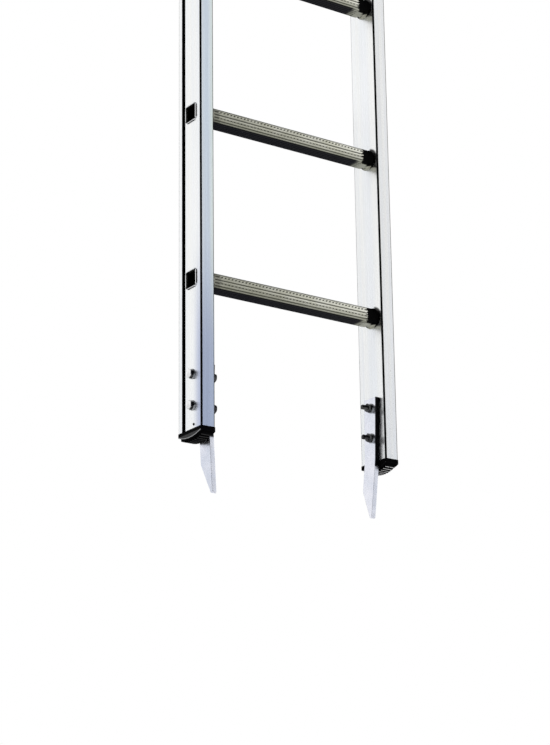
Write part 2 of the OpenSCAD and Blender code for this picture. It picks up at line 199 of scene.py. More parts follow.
class Surface(Nodes):
    """One procedural material; its patterns are in the object's own coordinates, in metres."""

    def __init__(self, name, metallic=0.0):
        self.material = bpy.data.materials.new(name)
        self.material.use_nodes = True
        super().__init__(self.material.node_tree)
        self.shader = self.tree.nodes["Principled BSDF"]
        self.shader.inputs["Metallic"].default_value = metallic
        self.place = self.add("TexCoord").outputs["Object"]
        self.seed = self.add("ObjectInfo").outputs["Random"]
        axes = self.add("SeparateXYZ", {0: self.place})
        self.x, self.y, self.z = axes.outputs

    def noise(self, per_metre, detail=3.0):
        """Noise with so many cells in a metre along X, Y and Z, different on each piece."""
        stretched = self.add("VectorMath", {0: self.place, 1: per_metre}, operation="MULTIPLY")
        moved = self.calc("MULTIPLY", self.seed, SEED_SPREAD)
        inputs = {"Vector": stretched.outputs[0], "W": moved, "Scale": 1.0, "Detail": detail}
        inputs["Roughness"] = NOISE_ROUGHNESS
        return self.add("TexNoise", inputs, noise_dimensions="4D").outputs["Fac"]

    def bump(self, *layers):
        """Layers of height, each with its depth in metres."""
        normal = None
        for height, depth in layers:
            node = self.add("Bump", {"Height": height, "Distance": depth, "Strength": 1.0})
            if normal is not None:
                self.put(node.inputs["Normal"], normal)
            normal = node.outputs["Normal"]
        self.put(self.shader.inputs["Normal"], normal)

    def from_line(self, arc):
        """Height outside an arc round a line along X, given by its centre and its radius."""
        y = self.calc("POWER", self.calc("SUBTRACT", self.y, arc[0]), 2.0)
        z = self.calc("POWER", self.calc("SUBTRACT", self.z, arc[1]), 2.0)
        return self.calc("SUBTRACT", self.calc("SQRT", self.calc("ADD", y, z)), arc[2])

    def finish(self, colour, roughness):
        self.put(self.shader.inputs["Base Color"], colour)
        self.put(self.shader.inputs["Roughness"], roughness)
        return self.material


# ---- Stage: a pale floor seen only from above, a black card behind, and soft light, dark on one side ----

WHITE = (1.0, 1.0, 1.0)
NIGHT = (0.004, 0.004, 0.010)
LOW_BLUE = (0.87, 0.91, 0.96)
ZENITH = (0.30, 0.31, 0.33)
# Where the light changes, by the height of its direction (1 is straight up)
NIGHT_TO_BLUE = (-0.02, 0.16)
BLUE_TO_WHITE = (0.16, 0.34)
WHITE_TO_ZENITH = (0.52, 0.74)
# Where it turns dark, by how far its direction is towards the photograph's viewpoint (1 is straight at it)
LIGHT_TO_DARK_SIDE = (0.40, 0.66)
FLOOR_HALF = 150
FLOOR_GAP = 0.5 * MM
FLOOR_GLOW = 0.42
CARD_Y = 0.5
CARD_X = (-0.02, 0.5)
CARD_Z = (0.0, 0.95)


def add_floor():
    mesh = bpy.data.meshes.new("floor")
    bm = bmesh.new()
    bmesh.ops.create_grid(bm, x_segments=1, y_segments=1, size=FLOOR_HALF)
    bm.to_mesh(mesh)
    bm.free()
    floor = bpy.data.objects.new("floor", mesh)
    floor.location.z = cad_box[0].z - FLOOR_GAP
    bpy.context.scene.collection.objects.link(floor)
    surface = Surface("floor")
    roughness = surface.span(surface.noise((9, 9, 9)), 0, 1, 0.7, 0.9)
    material = surface.finish((0.86, 0.86, 0.85), roughness)
    surface.shader.inputs["Emission Color"].default_value = (1, 1, 1, 1)
    surface.shader.inputs["Emission Strength"].default_value = FLOOR_GLOW
    see_through = surface.add("BsdfTransparent").outputs[0]
    underneath = surface.add("NewGeometry").outputs["Backfacing"]
    either = surface.add("MixShader", {0: underneath, 1: surface.shader.outputs[0], 2: see_through})
    surface.put(surface.tree.nodes["Material Output"].inputs["Surface"], either.outputs[0])
    mesh.materials.append(material)


def add_dark_card():
    """A standing black card behind the ladder, seen only as a reflection in the lower rungs."""
    mesh = bpy.data.meshes.new("dark_card")
    (x0, x1), (z0, z1) = CARD_X, CARD_Z
    corners = [(x, CARD_Y, z) for x, z in ((x0, z0), (x1, z0), (x1, z1), (x0, z1))]
    mesh.from_pydata(corners, [], [(0, 1, 2, 3)])
    card = bpy.data.objects.new("dark_card", mesh)
    bpy.context.scene.collection.objects.link(card)
    surface = Surface("dark_card")
    surface.shader.inputs["Specular IOR Level"].default_value = 0
    roughness = surface.span(surface.noise((9, 9, 9)), 0, 1, 0.8, 1)
    mesh.materials.append(surface.finish((0.004, 0.004, 0.005), roughness))
    card.visible_camera = False
    card.visible_diffuse = False
    card.visible_shadow = False


def set_world():
    world = bpy.data.worlds.new("studio")
    bpy.context.scene.world = world
    world.use_nodes = True
    nodes = Nodes(world.node_tree)
    direction = nodes.add("TexCoord").outputs["Generated"]
    height = nodes.add("SeparateXYZ", {0: direction}).outputs["Z"]
    above = nodes.mix(nodes.span(height, *BLUE_TO_WHITE), LOW_BLUE, WHITE)
    sky = nodes.mix(nodes.span(height, *NIGHT_TO_BLUE), NIGHT, above)
    sky = nodes.mix(nodes.span(height, *WHITE_TO_ZENITH), sky, ZENITH)
    towards_viewpoint = nodes.dot(direction, CAMERA_SIDE)
    studio = nodes.mix(nodes.span(towards_viewpoint, *LIGHT_TO_DARK_SIDE), sky, NIGHT)
    backdrop = nodes.add("LightPath").outputs["Is Camera Ray"]
    background = world.node_tree.nodes["Background"]
    nodes.put(background.inputs["Color"], nodes.mix(backdrop, studio, WHITE))


add_floor()
add_dark_card()
set_world()
bpy.context.scene.view_settings.view_transform = "Standard"

# ---- Materials, one for each slot of the record ----


def paint_reflections_on_left_stile(metal, colour):
    """Adds painted reflections to the left stile: blue-grey on its front face, darker blue-grey low on its
    front face, and dark blue-grey on its webs low down and near the front.
    """
    left = metal.span(metal.x, -10 * MM, 10 * MM, 1, 0)
    front = metal.product(left, metal.span(metal.y, FRONT_Y + 0.4 * MM, FRONT_Y + 1.2 * MM, 1, 0))
    outer_half = metal.span(metal.x, -OUTER_X, -OUTER_X + 11 * MM)
    tint = metal.mix(outer_half, (0.86, 0.92, 0.98), (0.74, 0.83, 0.94))
    inner_half = metal.span(metal.x, -OUTER_X + 13 * MM, -INNER_X)
    tint = metal.mix(inner_half, tint, (0.90, 0.98, 0.94))
    colour = metal.mix(front, colour, tint)
    low_front = metal.product(front, metal.span(metal.z, CUT_Z + 50 * MM, CUT_Z + 200 * MM, 0.4, 0))
    colour = metal.mix(low_front, colour, (0.55, 0.70, 0.84))
    low = metal.span(metal.z, CUT_Z + 100 * MM, CUT_Z + 340 * MM, 0.75, 0)
    low_web = metal.product(left, low, metal.span(metal.y, -63 * MM, -42 * MM, 1, 0))
    return metal.mix(low_web, colour, (0.42, 0.48, 0.68))


def paint_reflection_beside_rungs(metal, colour, depth):
    """Adds a painted dark reflection, a half-round patch beside each rung, on the right stile's inner web.
    """
    from_rung = metal.calc("PINGPONG", metal.calc("SUBTRACT", metal.z, FIRST_RUNG_Z), RUNG_PITCH / 2)
    from_axis = metal.product(metal.calc("SUBTRACT", depth, 40 * MM), 0.75)
    squares = metal.calc("ADD", metal.calc("POWER", from_rung, 2.0), metal.calc("POWER", from_axis, 2.0))
    near = metal.span(metal.calc("SQRT", squares), 17.5 * MM, 20.5 * MM, 1, 0)
    front_half = metal.span(depth, 44 * MM, 50 * MM)
    on_web = metal.span(metal.x, INNER_X + 0.1 * MM, INNER_X + 0.4 * MM, 0.96, 0)
    right = metal.span(metal.x, -10 * MM, 10 * MM)
    return metal.mix(metal.product(near, front_half, on_web, right), colour, (0.006, 0.005, 0.005))


def stile_aluminium():
    """Drawn aluminium with worn specks, painted dark reflections along its corners, painted shade in its
    guide groove, and painted reflections on the left stile and beside the right stile's rungs.
    """
    metal = Surface("stile_aluminium", metallic=1.0)
    metal.shader.inputs["Anisotropic"].default_value = 0.8
    tangent = metal.add("Tangent", direction_type="RADIAL", axis="Z")
    metal.put(metal.shader.inputs["Tangent"], tangent.outputs[0])
    across = metal.calc("ABSOLUTE", metal.x)
    depth = metal.calc("ABSOLUTE", metal.y)
    bands = metal.noise((90, 90, 0.35), detail=2)
    blotches = metal.noise((14, 14, 5), detail=5)
    specks = metal.noise((500, 500, 260), detail=2)
    lines = metal.noise((2600, 2600, 5), detail=2)
    colour = metal.mix(metal.span(bands, 0.35, 0.65), (0.94, 0.96, 0.985), (0.985, 0.99, 0.98))
    colour = metal.mix(metal.span(blotches, 0.55, 0.85, 0, 0.2), colour, (0.72, 0.74, 0.75))
    # Painted reflections on the left stile
    colour = paint_reflections_on_left_stile(metal, colour)
    # A painted dark reflection beside each rung on the right stile
    colour = paint_reflection_beside_rungs(metal, colour, depth)
    # The corner lines are painted dark reflections, where a place is near a web and near a flange at once
    from_inner = metal.calc("SUBTRACT", across, INNER_X)
    from_outer = metal.calc("SUBTRACT", OUTER_X, across)
    near_web = metal.span(metal.calc("MINIMUM", from_inner, from_outer), 2.2 * MM, 2.9 * MM, 1, 0)
    past_far = metal.calc("SUBTRACT", depth, 65 * MM)
    past_near = metal.calc("SUBTRACT", 4 * MM, depth)
    near_flange = metal.span(metal.calc("MAXIMUM", past_far, past_near), -0.8 * MM, -0.2 * MM)
    colour = metal.mix(metal.product(near_web, near_flange), colour, (0.020, 0.020, 0.022))
    # Painted shade in the guide groove
    groove = metal.product(
        metal.band(across, OUTER_X - GROOVE_DEEP, OUTER_X - 0.5 * MM, 0.3 * MM),
        metal.band(depth, GROOVE_NEAR, GROOVE_FAR, 0.1 * MM),
    )
    colour = metal.mix(groove, colour, metal.mix(blotches, (0.003, 0.003, 0.003), (0.030, 0.026, 0.024)))
    low_end = metal.span(metal.z, CUT_Z, CUT_Z + 250 * MM, 0.7, 0.12)
    worn = metal.product(metal.span(specks, 0.66, 0.74), low_end)
    colour = metal.mix(worn, colour, (0.30, 0.31, 0.33))
    roughness = metal.span(lines, 0.3, 0.7, 0.24, 0.34)
    metal.bump((lines, 0.02 * MM), (bands, 0.06 * MM))
    return metal.finish(colour, roughness)


def rung_aluminium():
    """Weathered aluminium with painted shade in its grip, on its lower front, underside and bore, a
    near-black painted reflection on its swaged right end and a painted contact shadow round its rims.
    """
    metal = Surface("rung_aluminium", metallic=1.0)
    metal.shader.inputs["Specular IOR Level"].default_value = 0
    recess_shade = metal.add("Attribute", attribute_name="recess_shade").outputs["Fac"]
    across = metal.calc("ABSOLUTE", metal.x)
    side = metal.calc("MAXIMUM", metal.calc("ABSOLUTE", metal.y), metal.calc("ABSOLUTE", metal.z))
    lines = metal.noise((6, 2600, 2600), detail=2)
    blotches = metal.noise((40, 90, 90), detail=5)
    streaks = metal.noise((22, 700, 700), detail=3)
    colour = metal.mix(metal.span(blotches, 0.35, 0.65), (0.80, 0.79, 0.66), (0.97, 0.96, 0.86))
    colour = metal.mix(metal.span(streaks, 0.45, 0.7, 0, 0.45), colour, (0.30, 0.30, 0.22))
    # Darker towards the left end
    colour = metal.mix(metal.span(metal.x, -INNER_X, INNER_X, 0.65, 0), colour, (0.26, 0.26, 0.20))
    # Painted shade, darker towards the bottom of the rung
    colour = metal.mix(metal.span(metal.z, -12 * MM, 4 * MM, 0.75, 0), colour, (0.26, 0.26, 0.20))
    # Painted shade in the grip grooves and between the upper teeth
    colour = metal.mix(recess_shade, colour, (0.025, 0.025, 0.014))
    # Painted shade on the underside, except near the right end
    lowest = metal.span(metal.z, -11.4 * MM, -10.4 * MM, 0.95, 0)
    under = metal.product(lowest, metal.span(metal.x, INNER_X - 34 * MM, INNER_X - 24 * MM, 1, 0))
    colour = metal.mix(under, colour, (0.004, 0.004, 0.010))
    # A painted dark reflection on the swaged end, strong on the right end and faint on the left; it and the
    # painted underside shade are not metallic
    ragged = metal.calc("ADD", across, metal.span(streaks, 0.3, 0.7, -3 * MM, 3 * MM))
    above_bottom = metal.span(metal.z, -13.6 * MM, -13.0 * MM)
    mostly_right = metal.span(metal.x, -10 * MM, 10 * MM, 0.3, 1)
    swaged = metal.product(
        metal.band(ragged, INNER_X - PLAIN_ENDS["right"], OUTER_X, 0.8 * MM),
        metal.product(above_bottom, mostly_right),
    )
    colour = metal.mix(swaged, colour, (0.006, 0.006, 0.006))
    metallic = metal.calc("SUBTRACT", 1.0, metal.calc("MAXIMUM", swaged, under))
    metal.put(metal.shader.inputs["Metallic"], metallic)
    rim = metal.span(across, OUTER_X - 0.2 * MM, OUTER_X + 0.1 * MM)
    colour = metal.mix(rim, colour, metal.mix(blotches, (0.86, 0.87, 0.88), (0.97, 0.97, 0.98)))
    # A painted contact shadow round the outside of the rim
    outline = metal.product(rim, metal.span(side, 14.9 * MM, 15.2 * MM))
    colour = metal.mix(outline, colour, (0.012, 0.012, 0.012))
    # Painted shade in the bore and at its mouth
    bore_mouth = metal.product(metal.span(side, 13.3 * MM, 13.7 * MM, 1, 0), rim)
    bore = metal.calc("MAXIMUM", bore_mouth, metal.span(side, 12.0 * MM, 12.5 * MM, 1, 0))
    colour = metal.mix(bore, colour, (0.004, 0.004, 0.004))
    roughness = metal.mix(rim, metal.span(lines, 0.3, 0.7, 0.22, 0.36), (0.15, 0.15, 0.15))
    metal.bump((lines, 0.03 * MM), (streaks, 0.08 * MM))
    return metal.finish(colour, roughness)


def foot_rubber():
    """Black rubber, dusty on its outer sides, with a painted highlight along the arc of each outer side and,
    on the right foot, painted highlights on its ribs.
    """
    rubber = Surface("foot_rubber")
    rubber.shader.inputs["Specular IOR Level"].default_value = 0.015
    grain = rubber.noise((1300, 1300, 1300), detail=4)
    specks = rubber.noise((420, 420, 420), detail=3)
    across = rubber.calc("ABSOLUTE", rubber.x)
    colour = rubber.mix(rubber.span(specks, 0.66, 0.76), (0.0025, 0.0025, 0.003), (0.10, 0.10, 0.10))
    outer_side = rubber.span(across, OUTER_X + 0.3 * MM, OUTER_X + 0.8 * MM)
    below_rim = rubber.span(rubber.z, CUT_Z - 6.2 * MM, CUT_Z - 5.8 * MM, 1, 0)
    dusty = rubber.mix(grain, (0.03, 0.03, 0.03), (0.13, 0.13, 0.13))
    colour = rubber.mix(rubber.product(outer_side, below_rim), colour, dusty)
    # A painted highlight along the arc of the outer side
    side_edge = rubber.band(rubber.from_line(SIDE_ARC), -1.0 * MM, -0.3 * MM, 0.3 * MM)
    colour = rubber.mix(rubber.product(side_edge, outer_side), colour, (0.50, 0.50, 0.50))
    # Painted highlights on the ribs of the right foot
    lowest = rubber.span(rubber.from_line(SOLE_ARC), -0.9 * MM, -0.2 * MM)
    patchy = rubber.span(specks, 0.3, 0.5)
    mostly_right = rubber.span(rubber.x, -10 * MM, 10 * MM, 0.06, 1)
    pitch = FOOT_RIBBED / FOOT_RIBS
    rib = rubber.calc("PINGPONG", rubber.calc("SUBTRACT", rubber.y, SOLE_ARC[0] - pitch / 2), pitch / 2)
    on_rib = rubber.span(rib, 0.35 * MM, 0.75 * MM, 1, 0)
    colour = rubber.mix(rubber.product(lowest, patchy, mostly_right, on_rib), colour, (0.80, 0.80, 0.79))
    roughness = rubber.span(grain, 0.3, 0.7, 0.5, 0.8)
    rubber.bump((grain, 0.12 * MM))
    return rubber.finish(colour, roughness)


def spike_zinc():
    """Cloudy zinc plate, with painted shade along its front edge above the foot."""
    metal = Surface("spike_zinc", metallic=1.0)
    clouds = metal.noise((45, 45, 45), detail=5)
    fine = metal.noise((900, 900, 250), detail=3)
    spots = metal.noise((420, 420, 300), detail=3)
    colour = metal.mix(metal.span(clouds, 0.3, 0.7), (0.76, 0.78, 0.86), (0.88, 0.88, 0.94))
    colour = metal.mix(metal.span(spots, 0.66, 0.74, 0, 0.6), colour, (0.42, 0.43, 0.47))
    # Painted shade along the front edge above the foot
    lean = metal.product(metal.calc("SUBTRACT", SPIKE_TOP_Z, metal.z), SPIKE_LEAN)
    behind = metal.calc("SUBTRACT", metal.y, metal.calc("ADD", lean, SPIKE_EDGE_Y))
    above_foot = metal.span(metal.z, CUT_Z - 12 * MM, CUT_Z - 9 * MM)
    edge = metal.product(metal.span(behind, 0.5 * MM, 0.9 * MM, 1, 0), above_foot)
    colour = metal.mix(edge, colour, metal.mix(clouds, (0.010, 0.010, 0.012), (0.040, 0.040, 0.045)))
    roughness = metal.span(fine, 0.3, 0.7, 0.22, 0.36)
    metal.bump((fine, 0.03 * MM), (spots, 0.05 * MM))
    return metal.finish(colour, roughness)


def bolt_steel():
    """Steel painted bright on the ends of the bolt heads, as a painted reflection, and dark elsewhere, as
    painted shade.
    """
    metal = Surface("bolt_steel", metallic=1.0)
    clouds = metal.noise((120, 120, 120), detail=5)
    fine = metal.noise((900, 900, 900), detail=3)
    # The head ends take a painted bright reflection, the rest painted shade
    head_end = metal.span(metal.calc("ABSOLUTE", metal.x), OUTER_X + 5.2 * MM, OUTER_X + 6.2 * MM)
    dark = metal.mix(metal.span(clouds, 0.35, 0.65), (0.012, 0.012, 0.014), (0.10, 0.10, 0.10))
    light = metal.mix(metal.span(clouds, 0.35, 0.65), (0.74, 0.74, 0.74), (0.97, 0.97, 0.97))
    roughness = metal.span(fine, 0.3, 0.7, 0.10, 0.24)
    metal.bump((fine, 0.02 * MM), (clouds, 0.05 * MM))
    return metal.finish(metal.mix(head_end, dark, light), roughness)


def black_plastic(name, dust, rough_low, rough_high):
    """Moulded black plastic with some dust."""
    plastic = Surface(name)
    grain = plastic.noise((1500, 1500, 1500), detail=4)
    specks = plastic.noise((420, 420, 420), detail=3)
    clouds = plastic.noise((60, 60, 60), detail=4)
    colour = plastic.mix(plastic.span(clouds, 0.3, 0.7), (0.006, 0.006, 0.007), (0.022, 0.022, 0.023))
    colour = plastic.mix(plastic.span(specks, 0.62, 0.74, 0, dust), colour, (0.30, 0.30, 0.29))
    roughness = plastic.span(clouds, 0.3, 0.7, rough_low, rough_high)
    plastic.bump((grain, 0.12 * MM))
    return plastic.finish(colour, roughness)


def plain_metal(name, dark, light, rough_low, rough_high, grain=(900, 900, 900)):
    """Metal with clouds between two tones and darker spots."""
    metal = Surface(name, metallic=1.0)
    clouds = metal.noise((55, 55, 55), detail=5)
    fine = metal.noise(grain, detail=3)
    spots = metal.noise((330, 330, 330), detail=3)
    colour = metal.mix(metal.span(clouds, 0.3, 0.7), dark, light)
    colour = metal.mix(metal.span(spots, 0.62, 0.72, 0, 0.3), colour, [c * 0.3 for c in dark])
    roughness = metal.span(fine, 0.3, 0.7, rough_low, rough_high)
    metal.bump((fine, 0.03 * MM), (spots, 0.04 * MM))
    return metal.finish(colour, roughness)


MATERIALS = {
    "stile_aluminium": stile_aluminium(),
    "rung_aluminium": rung_aluminium(),
    "foot_rubber": foot_rubber(),
    "cap_plastic": black_plastic("cap_plastic", 0.2, 0.35, 0.55),
    "spike_zinc": spike_zinc(),
    "bolt_steel": bolt_steel(),
    "washer_zinc": plain_metal("washer_zinc", (0.28, 0.29, 0.30), (0.46, 0.47, 0.48), 0.2, 0.34),
    "rivet_aluminium": plain_metal("rivet_aluminium", (0.7, 0.71, 0.72), (0.85, 0.86, 0.87), 0.2, 0.35),
    "guide_aluminium": plain_metal(
        "guide_aluminium", (0.62, 0.64, 0.66), (0.8, 0.82, 0.84), 0.25, 0.4, grain=(20, 2000, 2000)
    ),
    "lock_steel": plain_metal("lock_steel", (0.45, 0.47, 0.5), (0.66, 0.68, 0.7), 0.25, 0.42),
    "catch_steel": plain_metal("catch_steel", (0.55, 0.5, 0.4), (0.74, 0.69, 0.56), 0.25, 0.4),
    "bush_nylon": black_plastic("bush_nylon", 0.1, 0.35, 0.5),
}

# ---- Mesh helpers ----

SHARP_ANGLE = math.radians(38)
FLAT_ANGLE = math.radians(0.5)
SAME_POINT = 0.001 * MM
ROUND_STEPS = 48


def skin(bm, rings, closed=False):
    """Joins rings of points by quads. The ends are capped, or the last ring joins the first."""
    loops = [[bm.verts.new(point) for point in ring] for ring in rings]
    pairs = list(zip(loops, loops[1:]))
    if closed:
        pairs.append((loops[-1], loops[0]))
    else:
        bm.faces.new(reversed(loops[0]))
        bm.faces.new(loops[-1])
    for a, b in pairs:
        for i in range(len(a)):
            bm.faces.new((a[i - 1], a[i], b[i], b[i - 1]))


def circle(x, radius, centre):
    """A ring round a line along X. The radius may be a function of the angle."""
    points = []
    for i in range(ROUND_STEPS):
        angle = 2 * math.pi * i / ROUND_STEPS
        r = radius(angle) if callable(radius) else radius
        points.append(Vector((x, centre[0] + r * math.cos(angle), centre[1] + r * math.sin(angle))))
    return points


def shaded(bm, name):
    """Makes the mesh, smooth except at its sharp edges."""
    bmesh.ops.recalc_face_normals(bm, faces=bm.faces[:])
    for face in bm.faces:
        face.smooth = True
    for edge in bm.edges:
        edge.smooth = edge.calc_face_angle(0) < SHARP_ANGLE
    mesh = bpy.data.meshes.new(name)
    bm.to_mesh(mesh)
    bm.free()
    return mesh


def add_piece(name, mesh, slot, body, nodes):
    """Adds a piece that stands for CAD nodes, with the material of its slot."""
    piece = bpy.data.objects.new(name, mesh)
    bpy.context.scene.collection.objects.link(piece)
    if not mesh.materials:
        mesh.materials.append(MATERIALS[slot])
    weighted = piece.modifiers.new("flat_faces_stay_flat", "WEIGHTED_NORMAL")
    weighted.keep_sharp = True
    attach(piece, body)
    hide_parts(*nodes)
    return piece


def softened(node, width):
    """The shape of a CAD node with its sharp edges rounded off."""
    bm = bmesh.new()
    bm.from_mesh(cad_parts[node].data)
    bmesh.ops.remove_doubles(bm, verts=bm.verts[:], dist=SAME_POINT)
    bmesh.ops.dissolve_limit(bm, angle_limit=FLAT_ANGLE, verts=bm.verts[:], edges=bm.edges[:])
    sharp = [edge for edge in bm.edges if edge.calc_face_angle(0) > SHARP_ANGLE]
    bmesh.ops.bevel(
        bm, geom=sharp, offset=width, offset_type="OFFSET", segments=2, profile=0.5,
        affect="EDGES", clamp_overlap=False,
    )
    return shaded(bm, node)


def add_softened(node, width, slot, body):
    add_piece(node + "_soft", softened(node, width), slot, body, [node])


# ---- Stiles, caps, feet, spikes, guides, locks and catches: CAD shapes with rounded edges ----

for side in SIDES:
    for section, body in (("base", "base_section"), ("fly", "fly_section")):
        add_softened(f"{section}_stile_{side}", 0.15 * MM, "stile_aluminium", body)
        add_softened(f"{section}_guide_{side}", 0.4 * MM, "guide_aluminium", body)
    add_softened(f"base_cap_{side}", 0.5 * MM, "cap_plastic", "base_section")
    add_softened(f"fly_top_cap_{side}", 0.5 * MM, "cap_plastic", "fly_section")
    add_softened(f"fly_bottom_cap_{side}", 0.5 * MM, "cap_plastic", "fly_section")
    add_softened(f"foot_{side}", 0.45 * MM, "foot_rubber", "base_section")
    add_softened(f"ground_spike_{side}", 0.6 * MM, "spike_zinc", "base_section")
    add_softened(f"rung_lock_{side}", 0.6 * MM, "lock_steel", f"lock_{side}")
    add_softened(f"safety_catch_{side}", 0.5 * MM, "catch_steel", f"catch_{side}")
add_softened("lock_bushes", 0.2 * MM, "bush_nylon", "fly_section")

# ---- Rungs ----

# The grip grooves' places across each face, in pitches from its middle
GRIPS = (-1.5, -0.5, 0.5, 1.5)
GRIP_PITCH = 5.2 * MM
GRIP_W = 2.4 * MM
GRIP_DEPTH = 0.6 * MM
GRIP_ROUNDNESS = 0.7
FACE_STEPS = 43
CORNER_STEPS = 8
# The last part of the swaged bell: how far inside the stile, and the radius, in mm
BELL_LIP = ((1.9, 16.5), (1.5, 16.2), (1.1, 16.5), (0.8, 17.2), (0.4, 17.3), (0.0, 17.1))
BELL_LIP_L = 2.4 * MM
BELL_TURN_R = BELL_R - 0.5 * MM
BELL_STEPS = 10
BELL_BLEND = 0.8
# Where the rim has narrowed to the bore, inside the outer web, and the length that the grip fades over
BORE_STEP = 1.5 * MM
GRIP_FADE = 0.5 * MM
# The rolled rim: how far outside the stile, and the width across, in mm
RIM = (
    (0.0, 30.2), (0.4, 31.0), (0.9, 31.0), (1.3, 30.4), (1.6, 29.2), (1.6, 27.6), (1.2, 26.2), (0.5, 24.9),
)
# Each quarter turn round a rung, as a cosine and a sine
TURNS = ((1, 0), (0, 1), (-1, 0), (0, -1))


def grip(u):
    """Depth of the grip grooves, from 0 to 1, at a distance from the middle of a face."""
    off = min(abs(u - place * GRIP_PITCH) for place in GRIPS) / (GRIP_W / 2)
    return math.cos(off * math.pi / 2) ** GRIP_ROUNDNESS if off < 1 else 0.0


def square_ring(x, width, radius, groove=0.0):
    """A ring round a square tube along X, with grip grooves of that depth."""
    flat = width / 2 - radius
    outline = []
    for i in range(FACE_STEPS):
        u = flat * (2 * i / (FACE_STEPS - 1) - 1)
        outline.append((u, -width / 2 + groove * grip(u)))
    for i in range(1, CORNER_STEPS):
        angle = math.pi / 2 * (i / CORNER_STEPS - 1)
        outline.append((flat + radius * math.cos(angle), -flat + radius * math.sin(angle)))
    return [Vector((x, c * u - s * v, s * u + c * v)) for c, s in TURNS for u, v in outline]


def bell_ring(x, radius, share):
    """A ring between the square tube and a circle: share is how far it has gone towards the circle."""
    points = []
    for p in square_ring(x, RUNG_W, RUNG_R):
        reach = math.hypot(p.y, p.z)
        scale = 1 + share * (radius / reach - 1)
        points.append(Vector((x, p.y * scale, p.z * scale)))
    return points


def rung_end(plain):
    """Rings outwards from the grip: the plain end, the bell, the part in the stile, the rim and the bore."""
    rings = [square_ring(INNER_X - plain, RUNG_W, RUNG_R, GRIP_DEPTH)]
    rings.append(square_ring(INNER_X - plain + GRIP_FADE, RUNG_W, RUNG_R))
    for i in range(BELL_STEPS + 1):
        angle = math.pi / 2 * (1 - i / BELL_STEPS)
        radius = BELL_TURN_R - (BELL_TURN_R - RUNG_W / 2) * math.sin(angle)
        x = INNER_X - BELL_L + (BELL_L - BELL_LIP_L) * math.cos(angle)
        rings.append(bell_ring(x, radius, (i / BELL_STEPS) ** BELL_BLEND))
    rings += [bell_ring(INNER_X - back * MM, radius * MM, 1.0) for back, radius in BELL_LIP]
    rings.append(square_ring(INNER_X, RUNG_W, RUNG_R))
    rings.append(square_ring(OUTER_X, RUNG_W, RUNG_R))
    for offset, width in RIM:
        width *= MM
        rings.append(square_ring(OUTER_X + offset * MM, width, RUNG_R + (width - RUNG_W) / 2))
    rings.append(square_ring(OUTER_X - BORE_STEP, BORE_W, BORE_R))
    return rings


TOOTH_PITCH = 6.5 * MM
TOOTH_L = 3.7 * MM
TOOTH_H = 0.5 * MM
TOOTH_SLANT = 2.2 * MM
TOOTH_EDGE = 0.4 * MM
TOOTH_SUNK = 0.8 * MM
TOOTH_SEAT = 0.15 * MM
REAR, TOP, FRONT = 1, 2, 3
# Rows of teeth: the face, the place across it and the width, in mm
TOOTH_ROWS = (
    (TOP, -5.2, 2.6), (TOP, 0.0, 2.6), (TOP, 5.2, 2.6),
    (REAR, 8.0, 3.8), (FRONT, -8.0, 3.8), (REAR, -2.6, 1.4), (FRONT, 2.6, 1.4),
)


def tooth_rings(x, face, across, width):
    """A slanted low pad on one face of the rung, its foot sunk into the tube."""
    c, s = TURNS[face]
    slant = TOOTH_SLANT * (-1 if face == FRONT else 1)
    rings = []
    for rise, inset in ((-TOOTH_SUNK, 0.0), (TOOTH_H * 0.4, 0.0), (TOOTH_H, TOOTH_EDGE)):
        ring = []
        for along, over in ((-1, -1), (1, -1), (1, 1), (-1, 1)):
            u = across + over * (width / 2 - inset)
            v = -RUNG_W / 2 + TOOTH_SEAT - rise
            lean = over * slant * width / TOOTH_L / 2
            ring.append(Vector((x + along * (TOOTH_L / 2 - inset) + lean, c * u - s * v, s * u + c * v)))
        rings.append(ring)
    return rings


def add_recess_shade(bm):
    """Marks painted shade in the grip grooves, and a little between the upper teeth of the front and rear.
    """
    recess_shade = bm.verts.layers.float.new("recess_shade")
    for vertex in bm.verts:
        across, reach = sorted((abs(vertex.co.y), abs(vertex.co.z)))
        end = INNER_X - PLAIN_ENDS["right" if vertex.co.x > 0 else "left"] + 0.1 * MM
        if abs(vertex.co.x) < end and across < RUNG_W / 2 - RUNG_R + 0.1 * MM:
            sunk = min(1, max(0, (RUNG_W / 2 - reach) / GRIP_DEPTH))
            toothed = vertex.co.z > 5.5 * MM and abs(vertex.co.y) > 12.3 * MM
            vertex[recess_shade] = max(0.9 * sunk, 0.2 if toothed else 0.0)


def rung_mesh():
    """One rung round the X axis, with its grip, teeth, bells, rims and bore."""
    bm = bmesh.new()
    right = rung_end(PLAIN_ENDS["right"])
    left = [[Vector((-p.x, p.y, p.z)) for p in ring] for ring in reversed(rung_end(PLAIN_ENDS["left"]))]
    skin(bm, left + right, closed=True)
    add_recess_shade(bm)
    right_count = int((INNER_X - PLAIN_ENDS["right"] - TOOTH_L) / TOOTH_PITCH)
    left_count = int((INNER_X - PLAIN_ENDS["left"] - TOOTH_L) / TOOTH_PITCH)
    for face, across, width in TOOTH_ROWS:
        for i in range(-left_count, right_count + 1):
            skin(bm, tooth_rings(i * TOOTH_PITCH, face, across * MM, width * MM))
    return shaded(bm, "rung")


def add_rungs():
    mesh = rung_mesh()
    for section in ("base", "fly"):
        nodes = [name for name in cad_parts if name.startswith(section + "_rung_")]
        for node in sorted(nodes):
            low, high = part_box(node)
            piece = add_piece(node + "_grooved", mesh, "rung_aluminium", section + "_section", [node])
            piece.location = (low + high) / 2


add_rungs()

# ---- Fasteners ----

